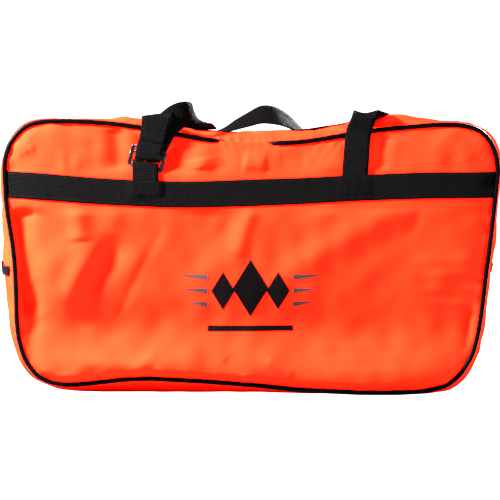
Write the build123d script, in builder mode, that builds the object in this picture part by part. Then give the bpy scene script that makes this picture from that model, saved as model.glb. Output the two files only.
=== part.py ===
from build123d import *
import os
from math import sin, cos, tan, radians

os.makedirs("parts", exist_ok=True)

# ---------------------------------------------------------------- dimensions
# Soft zipped carry bag, standing upright: width along X, depth along Y,
# height along Z, front panel towards -Y.  Millimetres.
YC = 2.8            # middle plane of the bag (the zip line) in Y
HALF_D = 100.0      # half depth of the fabric body
T = 2.5             # fabric with its seam allowance
EDGE_R = 12.0       # soft edge where the gusset turns into a panel
HALF_W = 370.0      # half width at the widest height
TOP_Z = 408.0       # highest point of the fabric
SAG_Z = 386.0       # bottom of the sagging top edge
SIDE_Z = 330.0      # height where the leaning sides turn upright
BL_X, BR_X = -337.0, 326.0
CORNER_TOP, CORNER_BOT = 64.0, 62.0
INSET = 10.0        # panel outline inside the gusset outline
PIPE_R = 3.0        # piping cord with its cover
FOLD_Z = 196.0      # height of the zip ends and of the fold of the opened front
GAP = 0.4           # gap between the opening half and the fixed half
WEB = 38.0          # webbing width
WT = 1.6            # webbing thickness
BAND_Z0, BAND_Z1 = 280.0, 318.0
BAND_T = 3.5
ZIP_SLOT = 7.0      # fabric edge to zip middle
ZIP_GAP = 1.4       # half the gap between the two coils
COIL_W = 4.0
TAPE_W = 18.0
HINGE_Z = 412.0     # handles fold over at this height

YF = YC - HALF_D    # outer face of the front panel
YR = YC + HALF_D
LAY1 = 3.1          # webbing layer that clears the piping, from the panel face
BUCK_Y = 6.7        # middle of the adjuster, from the panel face
BUCK_T = 3.0
LAY2 = 8.7          # outer webbing layer, from the panel face


def region(x0, x1, y0, y1, z0, z1, mode=Mode.ADD):
    """An axis-aligned block between two corners, inside the current builder."""
    with Locations(((x0 + x1) / 2, (y0 + y1) / 2, (z0 + z1) / 2)):
        Box(x1 - x0, y1 - y0, z1 - z0, mode=mode)


def save(builder, name):
    builder.part.label = name
    export_step(builder.part, "parts/" + name + ".step")


# ---------------------------------------------------------------- outline
# Gusset outline in the XZ plane: leaning sides, rounded corners, sagging top.
with BuildSketch() as outline:
    with BuildLine() as outline_edge:
        Polyline((-190, TOP_Z), (-HALF_W, TOP_Z), (-HALF_W, SIDE_Z), (BL_X, 0),
                 (BR_X, 0), (HALF_W, SIDE_Z), (HALF_W, TOP_Z), (206, TOP_Z))
        ThreePointArc((206, TOP_Z), (8, SAG_Z), (-190, TOP_Z))
    make_face()
    vs = outline.vertices()
    top = [v for v in vs if abs(v.Y - TOP_Z) < 1 and abs(v.X) > 300]
    fillet(top, CORNER_TOP)
    fillet([v for v in outline.vertices() if v.Y < 1], CORNER_BOT)
    fillet([v for v in outline.vertices() if abs(v.Y - SIDE_Z) < 1], 180)
    fillet([v for v in outline.vertices() if abs(v.Y - TOP_Z) < 1 and
            (abs(v.X + 190) < 1 or abs(v.X - 206) < 1)], 120)


def flat_ring(outer, inner, y0, y1):
    """Closed band between two inward offsets of the outline, from y0 to y1."""
    with BuildPart() as ring:
        with BuildSketch(Plane.XZ.offset(-y0)):
            add(outline.sketch_local)
            if outer:
                offset(amount=-outer, mode=Mode.REPLACE)
        extrude(amount=-(y1 - y0))
        with BuildSketch(Plane.XZ.offset(-y0)):
            add(outline.sketch_local)
            offset(amount=-inner, mode=Mode.REPLACE)
        extrude(amount=-(y1 - y0), mode=Mode.SUBTRACT)
    return ring.part


def block(inset, half, radius):
    """The soft block of the bag at one inward offset, its edges rounded."""
    with BuildPart() as blk:
        with BuildSketch(Plane.XZ.offset(-YC)):
            add(outline.sketch_local)
            if inset:
                offset(amount=-inset, mode=Mode.REPLACE)
        extrude(amount=half, both=True)
        fillet(blk.faces().filter_by(Axis.Y).edges(), radius)
    return blk.part


def prism(inset, y0, y1):
    """Solid of the panel outline between two y values."""
    with BuildPart() as pr:
        with BuildSketch(Plane.XZ.offset(-y0)):
            add(outline.sketch_local)
            offset(amount=-inset, mode=Mode.REPLACE)
        extrude(amount=-(y1 - y0))
    return pr.part


outer_block = block(0, HALF_D, EDGE_R)
inner_block = block(T, HALF_D - T, EDGE_R - T)
# The panels end just inside the piping, and the gusset just outside it.
SEAM = PIPE_R + 0.1
front_in = prism(INSET + SEAM, YF - 20, YF + 20)
rear_in = prism(INSET + SEAM, YR - 20, YR + 20)
front_out = prism(INSET - SEAM, YF - 20, YF + 20)
rear_out = prism(INSET - SEAM, YR - 20, YR + 20)


def pipe_ring(y):
    """Piping cord along the panel outline: a round ring in the plane at y."""
    with BuildSketch(Plane.XZ.offset(-y)) as seam:
        add(outline.sketch_local)
        offset(amount=-INSET, mode=Mode.REPLACE)
    wire = seam.sketch.faces()[0].outer_wire()
    with BuildPart() as tube:
        with BuildSketch(Plane(origin=wire @ 0, z_dir=wire % 0)):
            Circle(PIPE_R)
        sweep(path=wire)
    return tube.part


front_pipe = pipe_ring(YF + 0.5)
rear_pipe = pipe_ring(YR - 0.5)

with BuildPart() as shell:
    add(outer_block)
    add(inner_block, mode=Mode.SUBTRACT)

# ---------------------------------------------------------------- fabric
with BuildPart() as gusset_lower:
    add(shell.part)
    add(front_out, mode=Mode.SUBTRACT)
    add(rear_out, mode=Mode.SUBTRACT)
    region(-400, 400, -150, 150, -10, FOLD_Z, mode=Mode.INTERSECT)
save(gusset_lower, "gusset_lower")

with BuildPart() as gusset_upper_front:
    add(shell.part)
    add(front_out, mode=Mode.SUBTRACT)
    region(-400, 400, -150, YC - ZIP_SLOT, FOLD_Z + GAP, 450, mode=Mode.INTERSECT)
save(gusset_upper_front, "gusset_upper_front")

with BuildPart() as gusset_upper_rear:
    add(shell.part)
    add(rear_out, mode=Mode.SUBTRACT)
    region(-400, 400, YC + ZIP_SLOT, 150, FOLD_Z, 450, mode=Mode.INTERSECT)
save(gusset_upper_rear, "gusset_upper_rear")

with BuildPart() as front_panel_lower:
    add(shell.part)
    add(front_in, mode=Mode.INTERSECT)
    region(-400, 400, -150, 0, -10, FOLD_Z, mode=Mode.INTERSECT)
save(front_panel_lower, "front_panel_lower")

with BuildPart() as front_panel_upper:
    add(shell.part)
    add(front_in, mode=Mode.INTERSECT)
    region(-400, 400, -150, 0, FOLD_Z + GAP, 450, mode=Mode.INTERSECT)
save(front_panel_upper, "front_panel_upper")

with BuildPart() as rear_panel:
    add(shell.part)
    add(rear_in, mode=Mode.INTERSECT)
save(rear_panel, "rear_panel")

with BuildPart() as front_piping_lower:
    add(front_pipe)
    region(-400, 400, -150, 0, -10, FOLD_Z, mode=Mode.INTERSECT)
save(front_piping_lower, "front_piping_lower")

with BuildPart() as front_piping_upper:
    add(front_pipe)
    region(-400, 400, -150, 0, FOLD_Z + GAP, 450, mode=Mode.INTERSECT)
save(front_piping_upper, "front_piping_upper")

with BuildPart() as rear_piping:
    add(rear_pipe)
save(rear_piping, "rear_piping")

# ---------------------------------------------------------------- zip
tape_f = flat_ring(T + 0.1, T + 1.1, YC - TAPE_W, YC - ZIP_GAP)
tape_r = flat_ring(T + 0.1, T + 1.1, YC + ZIP_GAP, YC + TAPE_W)
coil_f = flat_ring(0.5, T + 0.1, YC - COIL_W, YC - ZIP_GAP)
coil_r = flat_ring(0.5, T + 0.1, YC + ZIP_GAP, YC + COIL_W)

for name, ring, z0 in (("zip_tape_front", tape_f, FOLD_Z + GAP),
                       ("zip_tape_rear", tape_r, FOLD_Z),
                       ("zip_coil_front", coil_f, FOLD_Z + GAP),
                       ("zip_coil_rear", coil_r, FOLD_Z)):
    with BuildPart() as zip_piece:
        add(ring)
        region(-400, 400, -150, 150, z0, 450, mode=Mode.INTERSECT)
    save(zip_piece, name)

# Webbing tabs sewn across the gusset below each zip end.
for name, side in (("zip_end_tab_left", -1), ("zip_end_tab_right", 1)):
    x0 = BR_X if side > 0 else -BL_X
    lean = (HALF_W - x0) / SIDE_Z
    half = 80 if side < 0 else 38
    with BuildPart() as tab:
        with BuildSketch(Plane.XZ.offset(-(YC - half))):
            with BuildLine():
                pts = [(x0 + lean * 176, 176), (x0 + lean * 192, 192),
                       (x0 + lean * 192 + 2.4, 192), (x0 + lean * 176 + 2.4, 176)]
                Polyline(*[(side * px, pz) for px, pz in pts], close=True)
            make_face()
        extrude(amount=-2 * half)
    save(tab, name)

# Slider on the right side, at the closed end of the zip, and its pull.
LEAN = (HALF_W - BR_X) / SIDE_Z
SL_Z = 213.0
s_len = (LEAN ** 2 + 1) ** 0.5
s_dir = (LEAN / s_len, 0, 1 / s_len)
n_dir = (1 / s_len, 0, -LEAN / s_len)
slider_plane = Plane(origin=(BR_X + LEAN * SL_Z, YC, SL_Z), x_dir=s_dir, z_dir=n_dir)

with BuildPart() as zip_slider:
    with BuildSketch(slider_plane.offset(0.3)):
        RectangleRounded(21, 12, 3)
    extrude(amount=1.5)
    # bail that carries the pull
    with BuildSketch(slider_plane.offset(1.8)):
        Rectangle(9, 3)
    extrude(amount=3.5)
    with Locations(slider_plane.offset(3.6)):
        Cylinder(1.35, 20, rotation=(90, 0, 0), mode=Mode.SUBTRACT)
    # post between the two coils, and the rear wing of the inner plate
    with BuildSketch(slider_plane.offset(0.3)):
        with Locations((-3, 0)):
            Rectangle(6, 1.8)
    extrude(amount=-5.9)
    with BuildSketch(slider_plane.offset(-4.1)):
        with Locations((0, -2.3)):
            Rectangle(19, 6.4)
    extrude(amount=-1.5)
    with BuildSketch(slider_plane.offset(0.3)):
        with Locations((0, -5.4)):
            Rectangle(15, 1.0)
    extrude(amount=-1.9)
save(zip_slider, "zip_slider")

with BuildPart() as zip_pull:
    # ring through the bail and a tapered tab that hangs down from it
    with BuildSketch(slider_plane.offset(2.8)):
        with Locations((-17, 0)):
            RectangleRounded(36, 9, 0.95)
    extrude(amount=1.6)
    with BuildSketch(slider_plane.offset(2.6)):
        Rectangle(10.2, 4.4)
    extrude(amount=2.0, mode=Mode.SUBTRACT)
    with BuildSketch(slider_plane.offset(2.6)):
        with Locations((-21, 0)):
            SlotOverall(14, 4)
    extrude(amount=2.0, mode=Mode.SUBTRACT)
    with Locations(slider_plane.offset(3.6)):
        Cylinder(0.9, 6, rotation=(90, 0, 0))
save(zip_pull, "zip_pull")


# ---------------------------------------------------------------- bands
FL_X, FR_X = -154.7, 160.0      # front strap positions
RL_X, RR_X = -150.0, 150.0       # rear strap positions

with BuildPart() as front_band:
    region(-349, 349, YF - BAND_T, YF, BAND_Z0, BAND_Z1)
    for cx in (FL_X, FR_X):
        region(cx - WEB / 2 - 0.3, cx + WEB / 2 + 0.3, YF - WT - 0.3, YF,
               BAND_Z0 + 5, BAND_Z1, mode=Mode.SUBTRACT)
save(front_band, "front_band")

with BuildPart() as rear_band:
    region(-349, 349, YR, YR + BAND_T, BAND_Z0, BAND_Z1)
    for cx in (RL_X, RR_X):
        region(cx - WEB / 2 - 0.3, cx + WEB / 2 + 0.3, YR, YR + WT + 0.3,
               BAND_Z0 + 5, BAND_Z1, mode=Mode.SUBTRACT)
save(rear_band, "rear_band")


def leg_profile(face, sign, top):
    """Side profile of a strap: tail under the band, step out, straight up."""
    prof = [(0.1, BAND_Z0 + 6), (0.1, BAND_Z1 + 1), (LAY1, BAND_Z1 + 14), (LAY1, top),
            (LAY1 + WT, top), (LAY1 + WT, BAND_Z1 + 13.7), (0.1 + WT, BAND_Z1 + 0.7),
            (0.1 + WT, BAND_Z0 + 6)]
    return [(face + sign * d, z) for d, z in prof]


for name, cx, face, sign in (("front_strap_right", FR_X, YF, -1),
                             ("rear_strap_left", RL_X, YR, 1),
                             ("rear_strap_right", RR_X, YR, 1)):
    with BuildPart() as strap:
        with BuildSketch(Plane.YZ.offset(cx - WEB / 2)):
            with BuildLine():
                Polyline(*leg_profile(face, sign, HINGE_Z - 0.8), close=True)
            make_face()
        extrude(amount=WEB)
    save(strap, name)

# Bar tacks: rows of thread over the band where the strap tails are caught.
for name, face, sign, xs in (("front_bar_tacks", YF, -1, (FL_X, FR_X)),
                             ("rear_bar_tacks", YR, 1, (RL_X, RR_X))):
    with BuildPart() as tacks:
        for cx in xs:
            for tz in (BAND_Z1 - 4, BAND_Z0 + 9):
                ya, yb = face + sign * BAND_T, face + sign * (BAND_T + 0.5)
                region(cx - 15, cx + 15, min(ya, yb), max(ya, yb), tz - 1, tz + 1)
    save(tacks, name)

# ---------------------------------------------------------------- adjuster
TILT = 14.0
BX, BZ = -151.5, 350.0
yb = YF - BUCK_Y
# local frame: x runs along the bars, y runs up the strap
buckle_plane = Plane(origin=(BX, yb, BZ),
                     x_dir=(cos(radians(TILT)), 0, -sin(radians(TILT))), z_dir=(0, -1, 0))
BAR_V = (-12.0, 6.0, 13.5)      # bottom, middle and top bars along the strap
BAR_R = BUCK_T / 2

with BuildPart() as adjuster_buckle:
    with BuildSketch(buckle_plane.offset(-BUCK_T / 2)):
        with Locations((0, (BAR_V[0] + BAR_V[2]) / 2)):
            RectangleRounded(52, BAR_V[2] - BAR_V[0] + 4.4, 3.2)
        with Locations((0, (BAR_V[0] + BAR_V[1]) / 2)):
            Rectangle(43, BAR_V[1] - BAR_V[0] - 3.0, mode=Mode.SUBTRACT)
        with Locations((0, (BAR_V[1] + BAR_V[2]) / 2)):
            Rectangle(43, BAR_V[2] - BAR_V[1] - 3.0, mode=Mode.SUBTRACT)
    extrude(amount=BUCK_T)
    fillet(adjuster_buckle.edges().filter_by(lambda e: e.length > 25), 0.9)
save(adjuster_buckle, "adjuster_buckle")

# Stub of webbing from the band, turned round the bottom bar.
with BuildPart() as front_strap_stub:
    cap = 347.5
    with BuildSketch(Plane.YZ.offset(FL_X - WEB / 2)):
        with BuildLine():
            Polyline((YF - 0.1, BAND_Z0 + 6), (YF - 0.1, BAND_Z1 + 1),
                     (YF - LAY1, BAND_Z1 + 12), (YF - LAY1, cap),
                     (YF - LAY2 - WT, cap), (YF - LAY2 - WT, BAND_Z1 + 2),
                     (YF - LAY2, BAND_Z1 + 2), (YF - LAY2, cap - WT),
                     (YF - LAY1 - WT, cap - WT), (YF - LAY1 - WT, BAND_Z1 + 11.7),
                     (YF - 0.1 - WT, BAND_Z1 + 0.7), (YF - 0.1 - WT, BAND_Z0 + 6), close=True)
        make_face()
    extrude(amount=WEB)
save(front_strap_stub, "front_strap_stub")

# The handle webbing turned round the middle bar of the adjuster.
with BuildPart() as adjuster_strap_turn:
    with BuildSketch(Plane(origin=buckle_plane.origin - buckle_plane.x_dir * (WEB / 2),
                           x_dir=buckle_plane.y_dir, z_dir=buckle_plane.x_dir)):
        # local x runs up the strap, local y runs out of the buckle plane
        vb = BAR_V[1] - BAR_R - 0.2
        o = LAY2 - BUCK_Y
        i = LAY1 + WT - BUCK_Y
        with BuildLine():
            Polyline((vb - WT, i - WT), (24, i - WT), (24, i), (vb, i), (vb, o), (24, o),
                     (24, o + WT), (vb - WT, o + WT), close=True)
        make_face()
    extrude(amount=WEB)
save(adjuster_strap_turn, "adjuster_strap_turn")


def tilted_strip(lean_deg, v0, z_top, y_in, name):
    """Flat run of webbing from above the adjuster to the top edge."""
    ux, uz = cos(radians(lean_deg)), -sin(radians(lean_deg))
    pl = Plane(origin=(BX, YF - y_in, BZ), x_dir=(ux, 0, uz), z_dir=(0, -1, 0))
    with BuildPart() as strip:
        with BuildSketch(pl):
            with Locations((0, v0 + 60)):
                Rectangle(WEB, 120)
        extrude(amount=WT)
        region(-400, 400, -150, 150, 300, z_top, mode=Mode.INTERSECT)
    save(strip, name)
    return strip


front_strap_left = tilted_strip(TILT, 25.0, HINGE_Z - 4.5, LAY2, "front_strap_left")
front_strap_tail = tilted_strip(TILT + 10, 28.0, HINGE_Z - 6, LAY1, "front_strap_tail")


# ---------------------------------------------------------------- handle loops
def loop(y_hinge, sign, x0, x1, reach, rise, name):
    """Free loop of a handle, folded over the top edge towards the middle."""
    pl = Plane(origin=(0, y_hinge, HINGE_Z + 0.6),
               x_dir=(1, 0, 0), z_dir=(0, -sign * sin(radians(rise)), cos(radians(rise))))
    with BuildPart() as lp:
        with BuildSketch(pl):
            with Locations(((x0 + x1) / 2, sign * (reach / 2 + 4))):
                Rectangle(x1 - x0, reach)
        extrude(amount=WT)
        fillet([e for e in lp.edges().filter_by(Axis((0, 0, 0), pl.z_dir))
                if (e.center() - pl.origin).Y * sign > reach * 0.5], 24)
        with BuildSketch(pl):
            with Locations(((x0 + x1) / 2, sign * ((reach - WEB) / 2 - 5 + 4))):
                Rectangle(x1 - x0 - 2 * WEB, reach - WEB + 10)
        extrude(amount=WT, mode=Mode.SUBTRACT)
    save(lp, name)
    return lp


# The fold line of each handle lies just outside its outermost webbing layer.
front_handle_loop = loop(YF - LAY2 - WT - 1.1, 1, -138 - WEB / 2, FR_X + WEB / 2, 90, 0,
                         "front_handle_loop")
rear_handle_loop = loop(YR + LAY1 + WT + 1.1, -1, RL_X - WEB / 2, RR_X + WEB / 2, 90, 12,
                        "rear_handle_loop")
print("front fold y", YF - LAY2 - WT - 1.1, "rear fold y", YR + LAY1 + WT + 1.1)

print("slider origin", tuple(slider_plane.origin), "dir", s_dir)
print("buckle bottom bar", tuple(buckle_plane.origin + buckle_plane.y_dir * BAR_V[0]),
      "axis", tuple(buckle_plane.x_dir))
print("pull axis", tuple(slider_plane.offset(3.6).origin))
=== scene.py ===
import bpy, math
import numpy as np
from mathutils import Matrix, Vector


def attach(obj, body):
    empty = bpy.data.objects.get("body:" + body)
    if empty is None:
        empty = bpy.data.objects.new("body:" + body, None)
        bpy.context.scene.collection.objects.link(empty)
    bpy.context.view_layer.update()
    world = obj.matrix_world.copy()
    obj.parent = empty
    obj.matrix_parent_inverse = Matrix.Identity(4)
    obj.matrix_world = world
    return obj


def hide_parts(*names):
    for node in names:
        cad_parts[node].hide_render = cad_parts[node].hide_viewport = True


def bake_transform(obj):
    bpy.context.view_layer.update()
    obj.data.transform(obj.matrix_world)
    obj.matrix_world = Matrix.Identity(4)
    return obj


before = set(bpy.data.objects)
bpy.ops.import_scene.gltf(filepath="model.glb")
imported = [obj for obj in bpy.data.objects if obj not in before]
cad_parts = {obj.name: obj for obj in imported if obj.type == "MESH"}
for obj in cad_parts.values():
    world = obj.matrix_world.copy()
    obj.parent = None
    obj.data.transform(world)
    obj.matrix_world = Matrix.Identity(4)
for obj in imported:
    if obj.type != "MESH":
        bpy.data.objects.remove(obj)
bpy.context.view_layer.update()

YC = 2.8            # mid plane, where the zip runs
YP = -94.0          # front piping
YQ = 99.6           # rear piping

# ---------------------------------------------------------------- outlines (mm, x and z)
FRONT = [(-349.2, 372.5), (-334.5, 391.0), (-320.8, 399.8), (-298.4, 403.7), (-270.1, 403.6), (-234.0, 402.6), (-190.1, 398.7),
         (-157.0, 393.8), (-109.2, 384.0), (-68.1, 377.1), (-17.3, 373.1), (15.0, 372.1), (45.3, 371.6), (69.8, 373.0),
         (99.1, 376.9), (132.4, 382.8), (174.5, 389.6), (214.7, 393.4), (257.8, 397.3), (294.0, 398.3), (316.6, 395.3),
         (330.4, 389.4), (342.2, 379.6), (351.1, 364.9), (356.1, 347.3), (357.2, 329.6), (354.4, 304.1), (350.6, 267.8),
         (345.9, 223.5), (340.2, 180.2), (334.6, 129.0), (328.8, 92.5), (321.1, 62.9), (303.5, 34.3), (284.8, 18.5),
         (252.3, 10.7), (215.8, 8.8), (157.7, 9.0), (70.1, 13.2), (15.1, 19.3), (-60.6, 25.4), (-148.0, 30.5),
         (-191.1, 28.7), (-213.7, 25.8), (-263.7, 21.0), (-290.2, 24.1), (-310.7, 33.1), (-329.2, 57.7), (-337.9, 87.3),
         (-340.7, 115.8), (-341.4, 160.0), (-343.2, 200.3), (-346.9, 232.6), (-351.7, 261.0), (-355.4, 290.4),
         (-357.2, 326.6), (-357.1, 348.1)]
SIL = [(-284.6, 5.6), (-314.2, 17.6), (-328.9, 29.6), (-337.8, 41.5), (-343.6, 53.4), (-347.3, 65.3), (-350.1, 77.2),
       (-352.3, 89.1), (-356.6, 112.9), (-359.5, 136.6), (-362.4, 160.4), (-364.1, 184.1), (-364.7, 207.8), (-364.9, 231.5),
       (-365.5, 255.2), (-366.1, 278.8), (-367.5, 302.5), (-368.8, 320.2), (-367.3, 337.9), (-364.3, 349.7), (-361.3, 361.5),
       (-355.3, 373.3), (-346.4, 385.1), (-331.7, 396.8), (-315.5, 401.2), (-297.8, 404.2), (-280.1, 405.6), (-244.8, 405.6),
       (-209.4, 404.8), (-191.8, 404.1), (-174.1, 402.6), (-147.5, 399.6), (-109.2, 393.7), (-73.8, 388.5), (-29.5, 383.3),
       (17.7, 384.7), (59.1, 386.9), (103.4, 389.1), (140.4, 396.4), (169.9, 403.8), (198.0, 409.7), (221.7, 410.4),
       (243.9, 408.2), (269.1, 403.7), (286.9, 401.5), (304.7, 400.0), (322.4, 397.8), (340.3, 390.3), (352.2, 381.5),
       (361.1, 369.6), (367.1, 354.8), (369.5, 335.6), (369.6, 301.5), (367.5, 277.7), (366.2, 254.0), (363.3, 230.2),
       (360.5, 206.5), (357.6, 182.7), (355.5, 158.9), (351.9, 135.1), (349.0, 111.2), (345.4, 87.4), (341.0, 69.5),
       (335.2, 51.6), (330.0, 39.7), (324.1, 27.7), (313.7, 15.8), (295.9, 3.9), (270, 1.0), (200, 0.3), (60, 0.3),
       (-60, 0.3), (-200, 0.6), (-255, 2.0)]
C0 = np.array([0.0, 205.0])
N = 640


def closed(points, n, sigma):
    p = np.array(points, float)
    p = np.vstack([p, p[:1]])
    d = np.r_[0, np.cumsum(np.linalg.norm(np.diff(p, axis=0), axis=1))]
    t = np.linspace(0, d[-1], n, endpoint=False)
    q = np.column_stack([np.interp(t, d, p[:, 0]), np.interp(t, d, p[:, 1])])
    step = d[-1] / n
    k = np.arange(-int(4 * sigma / step) - 1, int(4 * sigma / step) + 2)
    w = np.exp(-0.5 * (k * step / sigma) ** 2)
    w /= w.sum()
    return sum(wi * np.roll(q, ki, axis=0) for wi, ki in zip(w, k))


def by_angle(curve, like):
    """Points of the closed curve at the same polar angles as the points of like."""
    a = np.arctan2(curve[:, 1] - C0[1], curve[:, 0] - C0[0])
    r = np.linalg.norm(curve - C0, axis=1)
    o = np.argsort(a)
    a, r = a[o], r[o]
    a3 = np.r_[a - 2 * math.pi, a, a + 2 * math.pi]
    r3 = np.r_[r, r, r]
    b = np.arctan2(like[:, 1] - C0[1], like[:, 0] - C0[0])
    rb = np.interp(b, a3, r3)
    return C0 + np.column_stack([np.cos(b), np.sin(b)]) * rb[:, None]


def normals2(c):
    t = np.roll(c, -1, axis=0) - np.roll(c, 1, axis=0)
    t /= np.linalg.norm(t, axis=1)[:, None]
    n = np.column_stack([t[:, 1], -t[:, 0]])
    if ((n * (c - C0)).sum(axis=1)).mean() < 0:
        n = -n
    return n


F = closed(FRONT, N, 7.0)
G = by_angle(closed(SIL, 1200, 7.0), F)
nG = normals2(G)
R = G - nG * 12.0
R = closed(R, N, 14.0)
R = by_angle(R, F)
drop = np.exp(-((R[:, 0] - 5) / 150.0) ** 2) * (R[:, 1] > 250)
R[:, 1] -= 18 * drop
R[:, 1] = np.where(R[:, 1] < 60, np.maximum(R[:, 1], 9.0), R[:, 1])

# ---------------------------------------------------------------- smooth random undulation
rng = np.random.default_rng(7)


def waves(count, lo, hi, dims):
    k = rng.normal(size=(count, dims))
    k /= np.linalg.norm(k, axis=1)[:, None]
    lam = np.exp(rng.uniform(math.log(lo), math.log(hi), count))
    return k * (2 * math.pi / lam)[:, None], rng.uniform(0, 2 * math.pi, count), count


def undulate(P, w):
    k, ph, c = w
    return np.sin(P @ k.T + ph).sum(axis=-1) / math.sqrt(c / 2.0)


W_BIG, W_MID, W_SMALL = waves(24, 90, 220, 3), waves(30, 30, 70, 3), waves(36, 10, 24, 3)
W_PUCK = waves(30, 14, 40, 1)

# ---------------------------------------------------------------- front panel surface
# each fold: (points in mm, half width, height towards the front, fade length at the ends)
FOLDS = [
    ([(-334, 286), (-332, 240), (-328, 204), (-322, 120)], 13, -12.0, 40),
    ([(-256, 292), (-249, 230)], 11, 4.2, 14),
    ([(-219, 238), (-243, 192), (-273, 134)], 14, 4.6, 50),
    ([(-192, 240), (-214, 195), (-246, 142)], 13, -4.6, 50),
    ([(-129, 251), (-162, 189), (-196, 116)], 5, -0.9, 25),
    ([(-334, 108), (-206, 104), (-3, 100), (186, 99), (335, 102)], 33, -13.0, 40),
    ([(1, 276), (-12, 244), (-20, 207)], 8, 2.2, 18),
    ([(-30, 270), (-42, 235)], 9, -1.6, 18),
    ([(213, 280), (150, 243), (78, 197)], 14, 3.2, 30),
    ([(222, 262), (246, 250)], 18, -1.6, 26),
    ([(-75, 352), (-72, 334)], 13, 3.5, 10),
    ([(-14, 346), (22, 340)], 12, 3.4, 14),
    ([(40, 350), (80, 350)], 9, -1.5, 12),
    ([(-339, 282), (-321, 287), (-302, 279)], 5, 2.4, 10),
    ([(-336, 274), (-312, 272)], 5, -2.0, 10),
    ([(-347, 368), (-333, 353)], 3.2, 1.5, 5),
    ([(-338, 373), (-324, 358)], 3.2, 1.5, 5),
    ([(-327, 376), (-315, 362)], 3.2, 1.4, 5),
    ([(-274, 360), (-271, 335)], 5, 0.9, 12),
    ([(-254, 356), (-251, 335)], 5, 0.8, 12),
    ([(-231, 376), (-230, 338)], 6, -0.7, 12),
    ([(240, 200), (331, 204)], 5.5, 0.6, 24),
    ([(244, 179), (334, 184)], 5.5, 0.6, 24),
    ([(240, 158), (331, 160)], 5.5, 0.5, 24),
    ([(251, 139), (331, 140)], 5.5, 0.5, 24),
    ([(95, 72), (208, 77)], 5.5, 0.5, 24),
    ([(102, 56), (215, 63)], 5.5, 0.5, 24),
    ([(113, 38), (215, 45)], 5.5, 0.5, 24),
    ([(-151, 386), (-153, 330)], 36, -8.4, 30),
    ([(-126, 366), (-92, 322)], 12, -3.0, 16),
    ([(-196, 394), (-192, 334)], 10, -3.4, 12),
    ([(190, 384), (187, 334)], 8, -3.0, 12),
    ([(-318, 36), (-180, 40), (0, 36), (140, 28), (290, 34)], 23, 5.6, 50),
    ([(-260, 60), (-200, 50), (-120, 52)], 9, 2.2, 30),
    ([(-170, 40), (-140, 70)], 7, 2.0, 14),
    ([(262, 372), (280, 344)], 8, 0.7, 12),
    ([(300, 372), (318, 346)], 8, 0.8, 12),
    ([(20, 60), (60, 34)], 7, 1.6, 14),
    ([(-40, 60), (-10, 34)], 7, -1.6, 14),
]


def near_line(P, pts):
    """Distance from P (n,2) to the line through pts, and the distance from the nearer end along it."""
    pts = np.array(pts, float)
    seg = np.diff(pts, axis=0)
    L = np.linalg.norm(seg, axis=1)
    best = np.full(len(P), 1e9)
    along = np.zeros(len(P))
    start = 0.0
    for a, s, l in zip(pts[:-1], seg, L):
        t = np.clip(((P - a) @ s) / l ** 2, 0, 1)
        d = np.linalg.norm(P - a - t[:, None] * s, axis=1)
        hit = d < best
        best = np.where(hit, d, best)
        along = np.where(hit, start + t * l, along)
        start += l
    return best, np.minimum(along, L.sum() - along)


def smooth(t):
    t = np.clip(t, 0, 1)
    return t * t * (3 - 2 * t)


def edge_distance(P, outline):
    out = np.empty(len(P))
    for i in range(0, len(P), 4000):
        q = P[i:i + 4000]
        out[i:i + 4000] = np.sqrt(((q[:, None, :] - outline[None, ::2, :]) ** 2).sum(axis=2)).min(axis=1)
    return out


def inside(P, outline):
    a = np.arctan2(P[:, 1] - C0[1], P[:, 0] - C0[0])
    b = np.arctan2(outline[:, 1] - C0[1], outline[:, 0] - C0[0])
    r = np.linalg.norm(outline - C0, axis=1)
    o = np.argsort(b)
    rb = np.interp(a, np.r_[b[o] - 2 * math.pi, b[o], b[o] + 2 * math.pi], np.r_[r[o], r[o], r[o]])
    return np.linalg.norm(P - C0, axis=1) < rb


def panel_front(x, z):
    """y of the front panel at x, z."""
    P = np.column_stack([np.ravel(x), np.ravel(z)]).astype(float)
    d = np.where(inside(P, F), edge_distance(P, F), 0.0)
    y = YP - 11.0 * (1 - np.exp(-d / 20.0)) - 2.0 * smooth(d / 120.0)
    P3 = np.column_stack([P[:, 0], np.zeros(len(P)), P[:, 1]])
    fade = smooth(d / 15.0)
    under = smooth((np.abs(P[:, 1] - 303) - 22) / 14.0) * 0.75 + 0.25
    for pts, w, h, taper in FOLDS:
        gain = 1.0 if abs(h) > 6 else 1.8
        dist, end = near_line(P, pts)
        e = smooth((end + taper * 0.4) / taper)
        y = y - h * gain * np.exp(-0.5 * (dist / w) ** 2) * e * fade * under
    y = y - (1.5 * undulate(P3, W_BIG) + 0.8 * undulate(P3 * 0.9, W_MID)) * fade * under
    near = np.exp(-d / 14.0) * smooth(d / 4.0)
    a = np.arctan2(P[:, 1] - C0[1], P[:, 0] - C0[0]) * 300.0
    calm = 1 - 0.75 * np.exp(-((P[:, 0] + 5) / 110.0) ** 2)
    y = y - 0.7 * undulate(a[:, None], W_PUCK) * near * calm
    return y.reshape(np.shape(x))


def panel_rear(x, z):
    P = np.column_stack([np.ravel(x), np.ravel(z)]).astype(float)
    d = np.where(inside(P, R), edge_distance(P, R), 0.0)
    P3 = np.column_stack([P[:, 0] + 900, np.zeros(len(P)), P[:, 1] - 400])
    fade = smooth(d / 26.0)
    y = YQ + 8.0 * (1 - np.exp(-d / 20.0)) + 1.5 * smooth(d / 120.0)
    y = y + (1.3 * undulate(P3, W_BIG) + 0.5 * undulate(P3, W_MID)) * fade
    a = np.arctan2(P[:, 1] - C0[1], P[:, 0] - C0[0]) * 290.0 + 77
    y = y + 1.0 * undulate(a[:, None], W_PUCK) * np.exp(-d / 14.0) * smooth(d / 4.0)
    return y.reshape(np.shape(x))


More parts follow.
